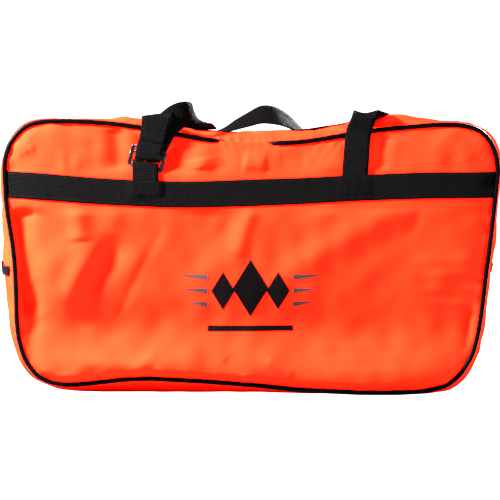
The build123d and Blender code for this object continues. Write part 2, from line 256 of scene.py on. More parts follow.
# ---------------------------------------------------------------- gusset surface
SIDE_R = ((326.0, 0.0), (370.0, 330.0))
groove = np.full(N, 2.0)
on_right = (G[:, 0] > 300) & (G[:, 1] > 150) & (G[:, 1] < 345)
line_x = 326.0 + (G[:, 1] / 330.0) * 44.0
groove = np.where(on_right, np.clip(G[:, 0] - line_x - 0.2, 0.0, 8.0), groove)
groove = np.where(G[:, 1] < 120, 0.0, groove)
kk = np.exp(-0.5 * (np.arange(-12, 13) / 5.0) ** 2)
kk /= kk.sum()
groove = sum(w * np.roll(groove, i) for w, i in zip(kk, range(-12, 13)))
zipped = smooth((G[:, 1] - 176.0) / 14.0)
zipped = np.where((np.abs(G[:, 0]) > 250) | (G[:, 1] > 250), zipped, 0.0)


def gusset(si, v, lift=0.0):
    """Points at outline index si (array) and v from 0 at the front piping to 1 at the rear piping, lifted outwards."""
    si = np.asarray(si, float)
    v = np.asarray(v, float)
    i0 = np.floor(si).astype(int) % N
    i1 = (i0 + 1) % N
    f = si - np.floor(si)

    def at(a):
        if a.ndim == 1:
            return a[i0] * (1 - f) + a[i1] * f
        return a[i0] * (1 - f)[..., None] + a[i1] * f[..., None]

    Fs, Gs, Rs, ns = at(F), at(G), at(R), at(nG)
    vv = np.clip(v, 0, 1)
    base = Fs * (1 - vv)[..., None] + Rs * vv[..., None]
    mid = (Fs + Rs) / 2
    h = 1 - np.abs(2 * vv - 1) ** 2.7
    P = base + (Gs - mid) * h[..., None]
    y = YP + (YQ - YP) * vv
    ends = np.minimum(vv, 1 - vv)
    P3 = np.stack([P[..., 0], y, P[..., 1]], axis=-1)
    body = smooth(ends / 0.16) * smooth(np.abs(y - YC) / 30.0)
    down = np.where(P[..., 1] < 60, 0.25, 1.0)
    off = (1.5 * undulate(P3, W_BIG) + 0.9 * undulate(P3, W_MID)) * body * down
    a = si * 5.0 * 1.0
    off = off + 1.3 * undulate(a[..., None], W_PUCK) * np.exp(-ends / 0.06) * smooth(ends / 0.02) * down
    off = off + 0.7 * undulate(a[..., None] + 300, W_PUCK) * np.exp(-np.abs(y - YC) / 16.0) * down * at(zipped)
    off = off - at(groove) * np.exp(-((y - YC) / 15.0) ** 2) + lift
    P = P + ns * off[..., None]
    z = np.maximum(P[..., 1], 0.25 + 0.0 * lift)
    return np.stack([P[..., 0], y, z], axis=-1)


def top_z(x, y):
    """Height of the top gusset at x, y (scalars)."""
    v = (y - YP) / (YQ - YP)
    idx = np.arange(N)
    sel = idx[(G[:, 1] > 360)]
    pts = gusset(sel, np.full(len(sel), v))
    o = np.argsort(pts[:, 0])
    return float(np.interp(x, pts[o, 0], pts[o, 2]))


# ---------------------------------------------------------------- mesh helpers
def mesh(name, P, faces, uv=None, smooth_shade=True):
    me = bpy.data.meshes.new(name)
    me.from_pydata((np.asarray(P, float).reshape(-1, 3) * 0.001).tolist(), [], faces)
    me.update()
    if uv is not None:
        uv = np.asarray(uv, float).reshape(-1, 2)
        layer = me.uv_layers.new(name="UVMap")
        li = np.empty(len(me.loops), int)
        me.loops.foreach_get("vertex_index", li)
        layer.data.foreach_set("uv", uv[li].ravel())
    if smooth_shade:
        me.polygons.foreach_set("use_smooth", [True] * len(me.polygons))
    ob = bpy.data.objects.new(name, me)
    bpy.context.scene.collection.objects.link(ob)
    return ob


def grid_faces(nu, nv, close_u=False, close_v=False, flip=False):
    out = []
    for i in range(nu if close_u else nu - 1):
        for j in range(nv if close_v else nv - 1):
            a, b = i * nv + j, i * nv + (j + 1) % nv
            c, d = ((i + 1) % nu) * nv + (j + 1) % nv, ((i + 1) % nu) * nv + j
            out.append((a, d, c, b) if flip else (a, b, c, d))
    return out


def tube(name, P, r, closed_loop=False, k=12):
    P = np.asarray(P, float)
    n = len(P)
    if closed_loop:
        T = np.roll(P, -1, axis=0) - np.roll(P, 1, axis=0)
    else:
        T = np.gradient(P, axis=0)
    T /= np.linalg.norm(T, axis=1)[:, None]
    A = np.cross(T, [0, 1, 0])
    A /= np.maximum(np.linalg.norm(A, axis=1), 1e-6)[:, None]
    B = np.cross(A, T)
    th = np.linspace(0, 2 * math.pi, k, endpoint=False)
    rr = np.broadcast_to(np.asarray(r, float), (n,))
    V = P[:, None, :] + rr[:, None, None] * (np.cos(th)[None, :, None] * A[:, None, :] + np.sin(th)[None, :, None] * B[:, None, :])
    f = grid_faces(n, k, closed_loop, True)
    if not closed_loop:
        f.append(tuple(range(k)))
        f.append(tuple((n - 1) * k + j for j in reversed(range(k))))
    return mesh(name, V, f)


def catmull(P, n):
    P = np.asarray(P, float)
    Q = np.vstack([2 * P[0] - P[1], P, 2 * P[-1] - P[-2]])
    out = []
    m = len(P) - 1
    for i in range(m):
        p0, p1, p2, p3 = Q[i:i + 4]
        for t in np.linspace(0, 1, 24, endpoint=False):
            out.append(0.5 * (2 * p1 + (p2 - p0) * t + (2 * p0 - 5 * p1 + 4 * p2 - p3) * t * t + (3 * p1 - p0 - 3 * p2 + p3) * t ** 3))
    out.append(P[-1])
    out = np.array(out)
    d = np.r_[0, np.cumsum(np.linalg.norm(np.diff(out[:, :3], axis=0), axis=1))]
    t = np.linspace(0, d[-1], n)
    return np.column_stack([np.interp(t, d, out[:, j]) for j in range(out.shape[1])]), d[-1]


def ribbon(name, keys, width=37.5, thick=1.7, step=3.0, crown=0.0, widths=None, surface=None, press=None):
    """keys: (x, y, z, wx, wy, wz): centre line and the direction of the width."""
    keys = np.array(keys, float)
    w = keys[:, 3:6]
    keys[:, 3:6] = w / np.linalg.norm(w, axis=1)[:, None]
    if widths is None:
        widths = [width] * len(keys)
    keys = np.column_stack([keys[:, :6], widths])
    _, L = catmull(keys, 10)
    n = max(4, int(L / step))
    K, L = catmull(keys, n)
    P, W = K[:, :3], K[:, 3:6]
    T = np.gradient(P, axis=0)
    T /= np.linalg.norm(T, axis=1)[:, None]
    W = W - (W * T).sum(axis=1)[:, None] * T
    W /= np.linalg.norm(W, axis=1)[:, None]
    Nn = np.cross(T, W)
    m = 9
    u = np.linspace(-1, 1, m)
    hw = (K[:, 6] / 2)[:, None]
    top, bot = [], []
    for j, uu in enumerate(u):
        edge = 0.55 if abs(uu) > 0.99 else 1.0
        bend = crown * (1 - uu ** 2)
        c = P + W * hw * uu + Nn * bend
        top.append(c + Nn * thick / 2 * edge)
        bot.append(c - Nn * thick / 2 * edge)
    S = np.stack(top + bot[::-1], axis=1)
    if press is not None:
        S = press(S)
    uvu = np.r_[u, u[::-1]] * 0.019
    uv = np.stack([np.broadcast_to(np.linspace(0, L * 0.001, n)[:, None], (n, 2 * m)), np.broadcast_to(uvu[None], (n, 2 * m))], axis=-1)
    f = grid_faces(n, 2 * m, False, True)
    f.append(tuple(reversed(range(2 * m))))
    f.append(tuple((n - 1) * 2 * m + j for j in range(2 * m)))
    ob = mesh(name, S, f, uv)
    return ob


def drape(S, off, thick=1.7):
    return S


# ---------------------------------------------------------------- materials
def material(name, colour, rough, spec=0.5, sheen=0.0, coat=0.0, metal=0.0, bump=None, mottled=None):
    m = bpy.data.materials.new(name)
    m.use_nodes = True
    nt = m.node_tree
    b = nt.nodes["Principled BSDF"]
    b.inputs["Base Color"].default_value = (*colour, 1)
    b.inputs["Roughness"].default_value = rough
    b.inputs["Specular IOR Level"].default_value = spec
    b.inputs["Metallic"].default_value = metal
    b.inputs["Sheen Weight"].default_value = sheen
    b.inputs["Sheen Roughness"].default_value = 0.5
    b.inputs["Coat Weight"].default_value = coat
    b.inputs["Coat Roughness"].default_value = 0.15
    if mottled:
        tc = nt.nodes.new("ShaderNodeTexCoord")
        no = nt.nodes.new("ShaderNodeTexNoise")
        no.inputs["Scale"].default_value = mottled[1]
        no.inputs["Detail"].default_value = 3
        nt.links.new(tc.outputs["Object"], no.inputs["Vector"])
        mx = nt.nodes.new("ShaderNodeMix")
        mx.data_type = "RGBA"
        mx.inputs["A"].default_value = (*colour, 1)
        mx.inputs["B"].default_value = (*mottled[0], 1)
        nt.links.new(no.outputs["Fac"], mx.inputs["Factor"])
        nt.links.new(mx.outputs["Result"], b.inputs["Base Color"])
    if bump:
        kind, scale, strength, distance = bump
        tc = nt.nodes.new("ShaderNodeTexCoord")
        bp = nt.nodes.new("ShaderNodeBump")
        bp.inputs["Strength"].default_value = strength
        bp.inputs["Distance"].default_value = distance
        if kind == "noise":
            tx = nt.nodes.new("ShaderNodeTexNoise")
            tx.inputs["Scale"].default_value = scale
            tx.inputs["Detail"].default_value = 4
            nt.links.new(tc.outputs["Object"], tx.inputs["Vector"])
            nt.links.new(tx.outputs["Fac"], bp.inputs["Height"])
        elif kind == "rib":
            w1 = nt.nodes.new("ShaderNodeTexWave")
            w1.wave_type, w1.bands_direction = "BANDS", "X"
            w1.inputs["Scale"].default_value = scale
            w2 = nt.nodes.new("ShaderNodeTexWave")
            w2.wave_type, w2.bands_direction = "BANDS", "Y"
            w2.inputs["Scale"].default_value = scale * 1.25
            add = nt.nodes.new("ShaderNodeMath")
            add.operation = "ADD"
            nt.links.new(tc.outputs["UV"], w1.inputs["Vector"])
            nt.links.new(tc.outputs["UV"], w2.inputs["Vector"])
            nt.links.new(w1.outputs["Fac"], add.inputs[0])
            nt.links.new(w2.outputs["Fac"], add.inputs[1])
            nt.links.new(add.outputs[0], bp.inputs["Height"])
        nt.links.new(bp.outputs["Normal"], b.inputs["Normal"])
    return m


ORANGE = material("orange polyester", (0.76, 0.0200, 0.0088), 0.7, spec=0.0, sheen=0.0, bump=("noise", 900, 0.25, 0.0005), mottled=((0.76, 0.0214, 0.0096), 70))
WEBBING = material("black webbing", (0.0026, 0.0022, 0.0023), 0.75, spec=0.05, sheen=0.0, bump=("rib", 138, 1.0, 0.0009))
PIPING = material("black glossy piping", (0.0022, 0.0022, 0.0026), 0.45, spec=0.03)
PLASTIC = material("black plastic", (0.004, 0.004, 0.0045), 0.35, spec=0.2)
COIL = material("zip coil", (0.003, 0.003, 0.0033), 0.5, spec=0.06)
TAPE = material("zip tape", (0.0045, 0.0045, 0.005), 0.8, spec=0.08, bump=("noise", 1500, 0.3, 0.0003))
METAL = material("black painted metal", (0.004, 0.004, 0.0045), 0.3, spec=0.25)
THREAD = material("black thread", (0.0060, 0.0060, 0.0065), 0.7, spec=0.1)
SEWN = material("orange thread", (0.84, 0.06, 0.022), 0.6, spec=0.15)
PRINT = material("dark print", (0.0035, 0.0028, 0.0030), 0.6, spec=0.04)
PRINT_G = material("grey print", (0.026, 0.019, 0.0195), 0.55, spec=0.08)


def give(ob, mat):
    ob.data.materials.clear()
    ob.data.materials.append(mat)
    return ob


def solid(ob, t, offset=-1.0):
    md = ob.modifiers.new("thickness", "SOLIDIFY")
    md.thickness = t * 0.001
    md.offset = offset
    return ob


# ---------------------------------------------------------------- panels
def panel(name, outline, ysurf, flip):
    rings = 90
    t = np.linspace(0, 1, rings + 1)[1:]
    r = 1 - (1 - t) ** 1.35
    P = C0[None, None, :] + (outline[None, :, :] - C0) * r[:, None, None]
    flat = P.reshape(-1, 2)
    y = ysurf(flat[:, 0], flat[:, 1])
    V = np.column_stack([flat[:, 0], y, flat[:, 1]])
    cy = ysurf(np.array([C0[0]]), np.array([C0[1]]))[0]
    V = np.vstack([V, [[C0[0], cy, C0[1]]]])
    f = grid_faces(rings, N, False, True, flip)
    c = len(V) - 1
    for j in range(N):
        a, b = j, (j + 1) % N
        f.append((c, a, b) if flip else (c, b, a))
    return mesh(name, V, f), V


def outward(ob, way):
    """Turns the faces so that the mean normal points along way."""
    me = ob.data
    n = np.array([p.normal[:] for p in me.polygons])
    a = np.array([p.area for p in me.polygons])
    if (n * np.array(way) * a[:, None]).sum() < 0:
        me.flip_normals()
    return ob


front_panel, _ = panel("front_panel", F, panel_front, False)
outward(front_panel, (0, -1, 0))
give(front_panel, ORANGE)
solid(front_panel, 1.0)
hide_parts("front_panel_lower", "front_panel_upper")
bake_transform(front_panel)

rear_panel, _ = panel("rear_panel_cloth", R, panel_rear, False)
outward(rear_panel, (0, 1, 0))
give(rear_panel, ORANGE)
solid(rear_panel, 1.0)
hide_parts("rear_panel")
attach(rear_panel, "root")

# ---------------------------------------------------------------- gusset halves with the zip between them
HALF = 22
S_ALL = np.arange(N)


def half_loop(name, front):
    u = np.linspace(0, 1, HALF + 1)
    u = 0.5 - 0.5 * np.cos(math.pi * u)
    gap = np.where(zipped > 0, 4.6, 0.0) * zipped
    vmid = (YC - YP) / (YQ - YP)
    gv = gap / (YQ - YP)
    rows = []
    for uu in u:
        v = uu * (vmid - gv) if front else (vmid + gv) + uu * (1 - vmid - gv)
        rows.append(gusset(S_ALL, v))
    P = np.stack(rows, axis=1)
    # the cut edge beside the zip is turned under
    edge = -1 if front else 0
    lip = P[:, edge].copy()
    back = -1.3
    lip[:, 0] += nG[:, 0] * back * zipped
    lip[:, 2] += nG[:, 1] * back * zipped
    lip[:, 1] += (0.2 if front else -0.2) * zipped
    P = np.concatenate([P, lip[:, None]], axis=1) if front else np.concatenate([lip[:, None], P], axis=1)
    ob = mesh(name, P, grid_faces(N, P.shape[1], True, False))
    me = ob.data
    c = np.array([p.center[:] for p in me.polygons]) * 1000
    n = np.array([p.normal[:] for p in me.polygons])
    side = (n[:, 0] * c[:, 0] + n[:, 2] * (c[:, 2] - 205)).sum()
    if side < 0:
        me.flip_normals()
    return ob


gf = give(half_loop("gusset_front", True), ORANGE)
solid(gf, 1.0)
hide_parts("gusset_upper_front")
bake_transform(gf)
gr = give(half_loop("gusset_rear", False), ORANGE)
solid(gr, 1.0)
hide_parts("gusset_lower", "gusset_upper_rear")
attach(gr, "root")

# ---------------------------------------------------------------- piping
hide = np.exp(-((F[:, 0] + 10) / 42.0) ** 6) * (F[:, 1] > 300)
nF = normals2(F)
front_line = np.column_stack([F[:, 0] + nF[:, 0] * 0.6, YP - 2.2 + 7.5 * hide, F[:, 1] + nF[:, 1] * 0.6 - 3.0 * hide])
pf = give(tube("piping_front", front_line, 3.4, True), PIPING)
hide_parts("front_piping_lower", "front_piping_upper")
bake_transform(pf)
nR = normals2(R)
pr = give(tube("piping_rear", np.column_stack([R[:, 0] + nR[:, 0] * 0.6, np.full(N, YQ + 2.2), R[:, 1] + nR[:, 1] * 0.6]), 3.0, True), PIPING)
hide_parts("rear_piping")
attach(pr, "root")

# ---------------------------------------------------------------- zip
start_i = int(np.argmin(np.abs(G[:, 1] - 186) + 1000 * (G[:, 0] > 0)))
run = [(start_i + k) % N for k in range(N)]
if G[run[10], 1] < G[run[0], 1]:
    run = [(start_i - k) % N for k in range(N)]
zip_idx = []
for k, i in enumerate(run):
    if k > 20 and G[i, 1] < 186:
        break
    zip_idx.append(i)
zip_idx = np.array(zip_idx)
vmid = (YC - YP) / (YQ - YP)
zc = gusset(zip_idx, np.full(len(zip_idx), vmid))
zn = nG[zip_idx]
zlen = np.r_[0, np.cumsum(np.linalg.norm(np.diff(zc, axis=0), axis=1))]


def zip_at(dist, dy, lift):
    x = np.interp(dist, zlen, zc[:, 0])
    z = np.interp(dist, zlen, zc[:, 2])
    nx = np.interp(dist, zlen, zn[:, 0])
    nz = np.interp(dist, zlen, zn[:, 1])
    return np.stack([x + nx * lift, YC + dy + 0 * x, z + nz * lift], axis=-1)


for sgn, tag in ((-1, "front"), (1, "rear")):
    dd = np.linspace(0, zlen[-1], 420)
    cols = [zip_at(dd, sgn * w, l) for w, l in ((0.7, -1.5), (3.5, -1.5), (9.0, -2.6), (9.0, -3.3), (0.7, -2.2))]
    P = np.stack(cols, axis=1)
    f = grid_faces(len(dd), 5, False, True, sgn > 0)
    t = give(mesh("zip_tape_%s_cloth" % tag, P, f, smooth_shade=False), TAPE)
    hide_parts("zip_tape_" + tag)
    # coil: one rounded loop every 1.9 mm, reaching across the middle
    verts, faces = [], []
    dist = np.arange(2.0, zlen[-1] - 2.0, 1.9) + (0.95 if sgn > 0 else 0.0)
    A0, A1 = zip_at(dist - 0.55, sgn * 3.3, -1.3), zip_at(dist + 0.55, sgn * 3.3, -1.3)
    B0, B1 = zip_at(dist - 0.6, -sgn * 0.0, -1.3), zip_at(dist + 0.6, -sgn * 0.0, -1.3)
    A2, A3 = zip_at(dist - 0.55, sgn * 3.1, 0.1), zip_at(dist + 0.55, sgn * 3.1, 0.1)
    B2, B3 = zip_at(dist - 0.6, sgn * 0.15, 0.1), zip_at(dist + 0.6, sgn * 0.15, 0.1)
    for q in zip(A0, A1, B1, B0, A2, A3, B3, B2):
        k = len(verts)
        verts.extend(q)
        faces += [(k, k + 3, k + 2, k + 1), (k + 4, k + 5, k + 6, k + 7), (k, k + 1, k + 5, k + 4), (k + 1, k + 2, k + 6, k + 5), (k + 2, k + 3, k + 7, k + 6), (k + 3, k, k + 4, k + 7)]
    co = give(mesh("zip_coil_%s_teeth" % tag, verts, faces, smooth_shade=False), COIL)
    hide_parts("zip_coil_" + tag)
    # one row of stitches beside the zip on this side
    verts, faces = [], []
    for d0 in np.arange(4, zlen[-1] - 4, 4.0):
        for w in (7.2,):
            si = np.interp([d0, d0 + 2.6], zlen, np.arange(len(zip_idx)))
            ii = np.interp(si, np.arange(len(zip_idx)), np.unwrap(zip_idx * 2 * math.pi / N) * N / (2 * math.pi)) % N
            v = vmid + sgn * w / (YQ - YP)
            a = gusset(ii, np.full(2, v), 0.25)
            b = gusset(ii, np.full(2, v + sgn * 0.7 / (YQ - YP)), 0.25)
            k = len(verts)
            verts += [a[0], a[1], b[1], b[0]]
            faces.append((k, k + 1, k + 2, k + 3))
    st = give(mesh("zip_stitches_" + tag, verts, faces), SEWN)
    for ob in (t, co, st):
        if sgn < 0:
            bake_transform(ob)
        else:
            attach(ob, "root")

# ---------------------------------------------------------------- webbing tabs under the zip ends
for side, tag in ((-1, "left"), (1, "right")):
    sel = [i for i in range(N) if G[i, 0] * side > 300 and 176.5 < G[i, 1] < 194.5]
    sel = sorted(sel, key=lambda i: G[i, 1])
    a, b = sel[0], sel[-1]
    if abs(a - b) > N / 2:
        a, b = (a + N if a < b else a), (b + N if b < a else b)
    ii = np.linspace(a, b, 7)
    ya, yb, up = (-77, 82, 2.9) if side < 0 else (-35, 41, 1.3)
    vv = np.linspace((ya - YP) / (YQ - YP), (yb - YP) / (YQ - YP), 40)
    I, V_ = np.meshgrid(ii, vv, indexing="ij")
    outer = gusset(I % N, V_, up)
    inner = gusset(I % N, V_, 0.15)
    bulge = (0.9 if side < 0 else 0.2) * np.sin(np.linspace(0, math.pi, 7))[:, None]
    outer[..., 0] += side * bulge
    top = np.concatenate([outer, inner[::-1]], axis=0)
    uv = np.stack([np.broadcast_to(vv[None] * 0.195, (14, 40)), np.broadcast_to(np.r_[np.linspace(0, 0.018, 7), np.linspace(0.018, 0, 7)][:, None], (14, 40))], axis=-1)
    f = grid_faces(14, 40, True, False)
    f.append(tuple(k * 40 for k in range(14)))
    f.append(tuple(k * 40 + 39 for k in reversed(range(14))))
    tb = mesh("zip_tab_" + tag, top, f, uv)
    me = tb.data
    c = np.array([p.center[:] for p in me.polygons])
    n = np.array([p.normal[:] for p in me.polygons])
    if ((c - c.mean(axis=0)) * n).sum() < 0:
        me.flip_normals()
    give(tb, WEBBING)
    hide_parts("zip_end_tab_" + tag)
    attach(tb, "root")
    verts, faces = [], []
    for zz in (173.6, 197.4):
        q = min(range(N), key=lambda i: abs(G[i, 1] - zz) + (0 if G[i, 0] * side > 300 else 1e4))
        for y0 in np.arange(ya, yb - 2, 3.6):
            if abs(y0 - YC) < 6 and zz > 190:
                continue
            v0, v1 = (y0 - YP) / (YQ - YP), (y0 + 2.4 - YP) / (YQ - YP)
            P = gusset(np.array([q - 0.07, q + 0.07, q + 0.07, q - 0.07]), np.array([v0, v0, v1, v1]), 0.35)
            k = len(verts)
            verts += list(P)
            faces.append((k, k + 1, k + 2, k + 3))
    st = give(mesh("zip_tab_stitches_" + tag, verts, faces), SEWN)
    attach(st, "root")

# ---------------------------------------------------------------- bands
BAND_T = [(-355, 332.0), (-320.6, 330.9), (-277.3, 327.3), (-219.6, 322.1), (-176.3, 319.9), (-132.9, 317.7), (-96.8, 316.9), (-46.2, 318.3),
          (11.7, 320.4), (69.6, 321.8), (127.6, 325.3), (166.7, 326.7), (214.6, 328.8), (258.1, 330.2), (354, 330.1)]
BAND_B = [(-353, 294.1), (-320.7, 291.9), (-277.4, 288.9), (-219.7, 284.5), (-176.3, 282.3), (-133.0, 280.0), (-89.6, 279.2), (-46.2, 279.9),
          (11.7, 282.0), (69.7, 284.1), (127.7, 287.6), (156.7, 289.0), (214.7, 291.1), (272.7, 292.5), (354, 292.4)]


def band(name, rear):
    n, m = 260, 13
    line = R if rear else F
    xl = np.interp(306, [0, 400], [0, 0]) * 0
    left = line[(line[:, 0] < 0)]
    right = line[(line[:, 0] > 0)]
    ol, orr = np.argsort(left[:, 1]), np.argsort(right[:, 1])
    top, bot = [], []
    for j in range(m):
        q = j / (m - 1)
        s = np.linspace(0, 1, n)
        if rear:
            zz0 = 318 + 0 * s
            zz1 = 280 + 0 * s
        else:
            X = -354 + 708 * s
            zz0 = np.interp(X, [p[0] for p in BAND_T], [p[1] for p in BAND_T])
            zz1 = np.interp(X, [p[0] for p in BAND_B], [p[1] for p in BAND_B])
            ker = np.exp(-0.5 * (np.arange(-10, 11) / 5.0) ** 2)
            ker /= ker.sum()
            zz0 = np.convolve(np.pad(zz0, 10, mode="edge"), ker, mode="valid")
            zz1 = np.convolve(np.pad(zz1, 10, mode="edge"), ker, mode="valid")
        z = zz0 * (1 - q) + zz1 * q
        xa = np.interp(z, left[ol, 1], left[ol, 0]) + 0.5
        xb = np.interp(z, right[orr, 1], right[orr, 0]) - 0.5
        x = xa * (1 - s) + xb * s
        y = (panel_rear if rear else panel_front)(x, z)
        o = 1.0 if rear else -1.0
        rib = 0.25 * math.cos(q * 2 * math.pi * 1.0)
        lift = 1.9 + (0.0 if 0 < j < m - 1 else -0.5)
        over = 0.0
        for cx, hh in (((150, 1.7), (-150, 1.7)) if rear else ((148.5, 1.7), (-153.8, 3.4))):
            over = over + hh * smooth((28.5 - np.abs(x - cx)) / 9.0) * smooth((z - 289.0) / 14.0)
        lift = lift + over
        top.append(np.column_stack([x, y + o * lift, z]))
        bot.append(np.column_stack([x, y + o * (0.3 + over), z]))
    S = np.stack(top + bot[::-1], axis=1)
    uvv = np.r_[np.linspace(-0.019, 0.019, m), np.linspace(0.019, -0.019, m)]
    uv = np.stack([np.broadcast_to(np.linspace(0, 0.71, n)[:, None], (n, 2 * m)), np.broadcast_to(uvv[None], (n, 2 * m))], axis=-1)
    ob = mesh(name, S, grid_faces(n, 2 * m, False, True), uv)
    outward_closed(ob)
    return ob, top


def outward_closed(ob):
    me = ob.data
    v = 0.0
    co = np.array([x.co[:] for x in me.vertices])
    for p in me.polygons:
        a = co[list(p.vertices)]
        n = np.array(p.normal[:])
        v += float(a.mean(axis=0) @ n) * p.area
    if v < 0:
        me.flip_normals()
    return ob


def stitch_row(name, pts, out, length=2.6, gap=1.6, width=0.55, mat=None):
    """Small dashes along pts (n,3), raised along out."""
    pts = np.asarray(pts, float)
    d = np.r_[0, np.cumsum(np.linalg.norm(np.diff(pts, axis=0), axis=1))]
    verts, faces = [], []
    for s in np.arange(1.0, d[-1] - length, length + gap):
        a = np.array([np.interp(s, d, pts[:, j]) for j in range(3)])
        b = np.array([np.interp(s + length, d, pts[:, j]) for j in range(3)])
        t = (b - a) / np.linalg.norm(b - a)
        o = np.array(out, float)
        w = np.cross(t, o)
        w /= np.linalg.norm(w)
        k = len(verts)
        for p, l in ((a, 0.1), (a * 0.5 + b * 0.5, 0.45), (b, 0.1)):
            verts += [p - w * width / 2 + o * (l - 0.3), p + o * l, p + w * width / 2 + o * (l - 0.3)]
        for i in range(2):
            for j in range(2):
                faces.append((k + i * 3 + j, k + i * 3 + j + 1, k + i * 3 + j + 4, k + i * 3 + j + 3))
    return give(mesh(name, verts, faces), mat or THREAD)


for rear, body, tag in ((False, "front_leaf", "front"), (True, "root", "rear")):
    b, rows = band("band_" + tag, rear)
    give(b, WEBBING)
    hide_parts(tag + "_band")
    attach(b, body)
    o = (0, 1, 0) if rear else (0, -1, 0)
    for j, nm in ((1, "upper"), (11, "lower")):
        st = stitch_row("band_stitches_%s_%s" % (tag, nm), rows[j], o)
        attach(st, body)

# ---------------------------------------------------------------- front straps and handle
def py(x, z, lift):
    return float(panel_front(np.array([x]), np.array([z]))[0]) - lift


X1, Z1 = (1, 0, 0), (0, 0, 1)


def key(x, y, z, w=X1):
    return (x, y, z, *w)


def on_top(x, y, lift):
    return top_z(x, y) + lift


def lay(x, y, lift, w, half=18.8):
    """A key on the top gusset whose width follows the cloth and clears its highest point."""
    n = math.hypot(*w)
    ux, uy = w[0] / n, w[1] / n
    s = [-half, -half / 2, 0.0, half / 2, half]
    h = [top_z(x + ux * t, y + uy * t) for t in s]
    slope = (h[-1] - h[0]) / (2 * half)
    return (x, y, max(a - slope * t for a, t in zip(h, s)) + lift, ux, uy, slope)


front_handle = ribbon("front_handle_webbing", [
    key(148.4, py(148.4, 302, 1.2), 302), key(148.5, py(148.5, 318, 1.2), 318), key(149.3, py(149.3, 332, 1.6), 332), key(150.6, py(150.6, 350, 2.2), 350),
    key(152.0, py(152, 368, 2.6), 368), key(154.4, -103.5, 388, (1, 0, -0.04)), key(159.5, -106.0, 402, (1, 0.10, -0.06)),
    key(162.0, -106.5, 411, (1, 0.12, -0.02)), key(165.0, -101.5, 415.2, (1, 0.15, 0.05)), key(172.0, -88, 411, (0.95, 0.05, 0.28)),
    key(182.0, -62, 406.5, (0.92, -0.05, 0.40)), key(186.0, -34, 407.0, (0.95, 0.0, 0.28)), lay(182.0, -4, 3.0, (1, 0.1)),
    lay(172.0, 24, 2.4, (0.85, 0.5)), lay(150.0, 43, 2.2, (0.4, 0.9)),
    lay(118.0, 50, 2.0, (0, 1)), lay(80.0, 50, 1.8, (0, 1)), lay(40.0, 50, 1.8, (0, 1)),
    lay(-10.0, 50, 1.8, (0, 1)), lay(-60.0, 48, 1.9, (0, 1)),
    lay(-100.0, 40, 2.2, (-0.35, 0.94)), lay(-126.0, 18, 2.6, (-0.8, 0.6)),
    lay(-136.0, -16, 3.4, (-1, 0.1)), key(-137.6, -58, 404.5, (-1, 0, 0)), key(-137.4, -88, 409.5, (-1, 0, -0.04)),
    key(-137.3, -103.5, 414.0, (-1, 0, -0.13)), key(-137.5, -109.6, 409.5, (-1, 0.0, -0.16)), key(-139.6, -109.4, 398, (-1, 0, -0.18)),
    key(-142.5, -108.6, 385, (-1, 0, -0.2)), key(-145.0, -108.2, 374, (-1, 0, -0.22))],
    widths=[37.6] * 4 + [37.2, 36.8, 35.5, 34, 34, 36] + [37.5] * 14 + [40, 43, 43, 41, 38.4, 37.6])
give(front_handle, WEBBING)
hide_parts("front_handle_loop", "front_strap_right")
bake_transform(front_handle)

left_low = ribbon("left_strap_webbing", [
    key(-151.6, -105.4, 347.0, (1, 0, 0.25)), key(-150.4, -107.0, 353.5, (1, 0, 0.25)), key(-148.6, -107.6, 360, (1, 0, 0.25)),
    key(-147.0, -108.0, 366, (1, 0, 0.24)), key(-145.0, -108.2, 374, (1, 0, 0.22))])
give(left_low, WEBBING)
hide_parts("front_strap_left")
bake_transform(left_low)

tail = ribbon("strap_tail_webbing", [
    key(-150.2, -101.6, 352.0, (1, 0, -0.26)), key(-144.8, -102.2, 362, (1, 0, -0.32)), key(-137.6, -103.0, 374, (1, 0, -0.36)),
    key(-128.8, -104.0, 390, (1, 0.04, -0.44)), key(-119.0, -103.5, 402, (0.95, 0.08, -0.58)), key(-105.5, -100.0, 411.5, (0.68, 0.12, -0.72)),
    key(-91.0, -91.0, 413.5, (0.42, 0.2, -0.88)), key(-79.0, -76.0, 408.0, (0.62, 0.28, -0.72)), key(-72.0, -60.0, 398.0, (0.9, 0.2, -0.25)),
    key(-69.0, -46.0, on_top(-69, -46, 5.0), (1, 0.1, 0)), key(-68.0, -30.0, on_top(-68, -30, 2.2), (1, 0.1, 0)), key(-67.0, -18.0, on_top(-67, -18, 2.0), (1, 0.1, 0))],
    widths=[37.6] * 7 + [36, 35, 35, 35, 35])
give(tail, WEBBING)
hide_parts("front_strap_tail")
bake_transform(tail)

stub = ribbon("strap_stub_webbing", [
    key(-153.8, py(-153.8, 303, 0.9), 303), key(-153.8, py(-153.8, 318, 1.0), 318), key(-153.9, -101.8, 328), key(-154.2, -101.2, 335, (1, 0, -0.08)),
    key(-154.0, -101.4, 341, (1, 0, -0.18)), key(-153.8, -104.0, 345.6, (1, 0, -0.23)), key(-154.0, -106.6, 341, (1, 0, -0.18)),
    key(-154.1, -107.0, 335, (1, 0, -0.08)), key(-154.0, -107.6, 327), key(-153.8, py(-153.8, 318, 2.9), 318), key(-153.8, py(-153.8, 303, 2.6), 303)], step=1.6)
give(stub, WEBBING)
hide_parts("front_strap_stub")
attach(stub, "front_leaf")

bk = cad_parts.get("adjuster_buckle")
if bk is not None:
    solid(bk, 0.7, 1.0)
for node in ("adjuster_buckle", "adjuster_strap_turn", "zip_slider", "zip_pull", "front_bar_tacks", "rear_bar_tacks"):
    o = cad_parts.get(node)
    if o is not None:
        give(o, {"adjuster_buckle": PLASTIC, "adjuster_strap_turn": WEBBING, "zip_slider": METAL, "zip_pull": METAL}.get(node, THREAD))
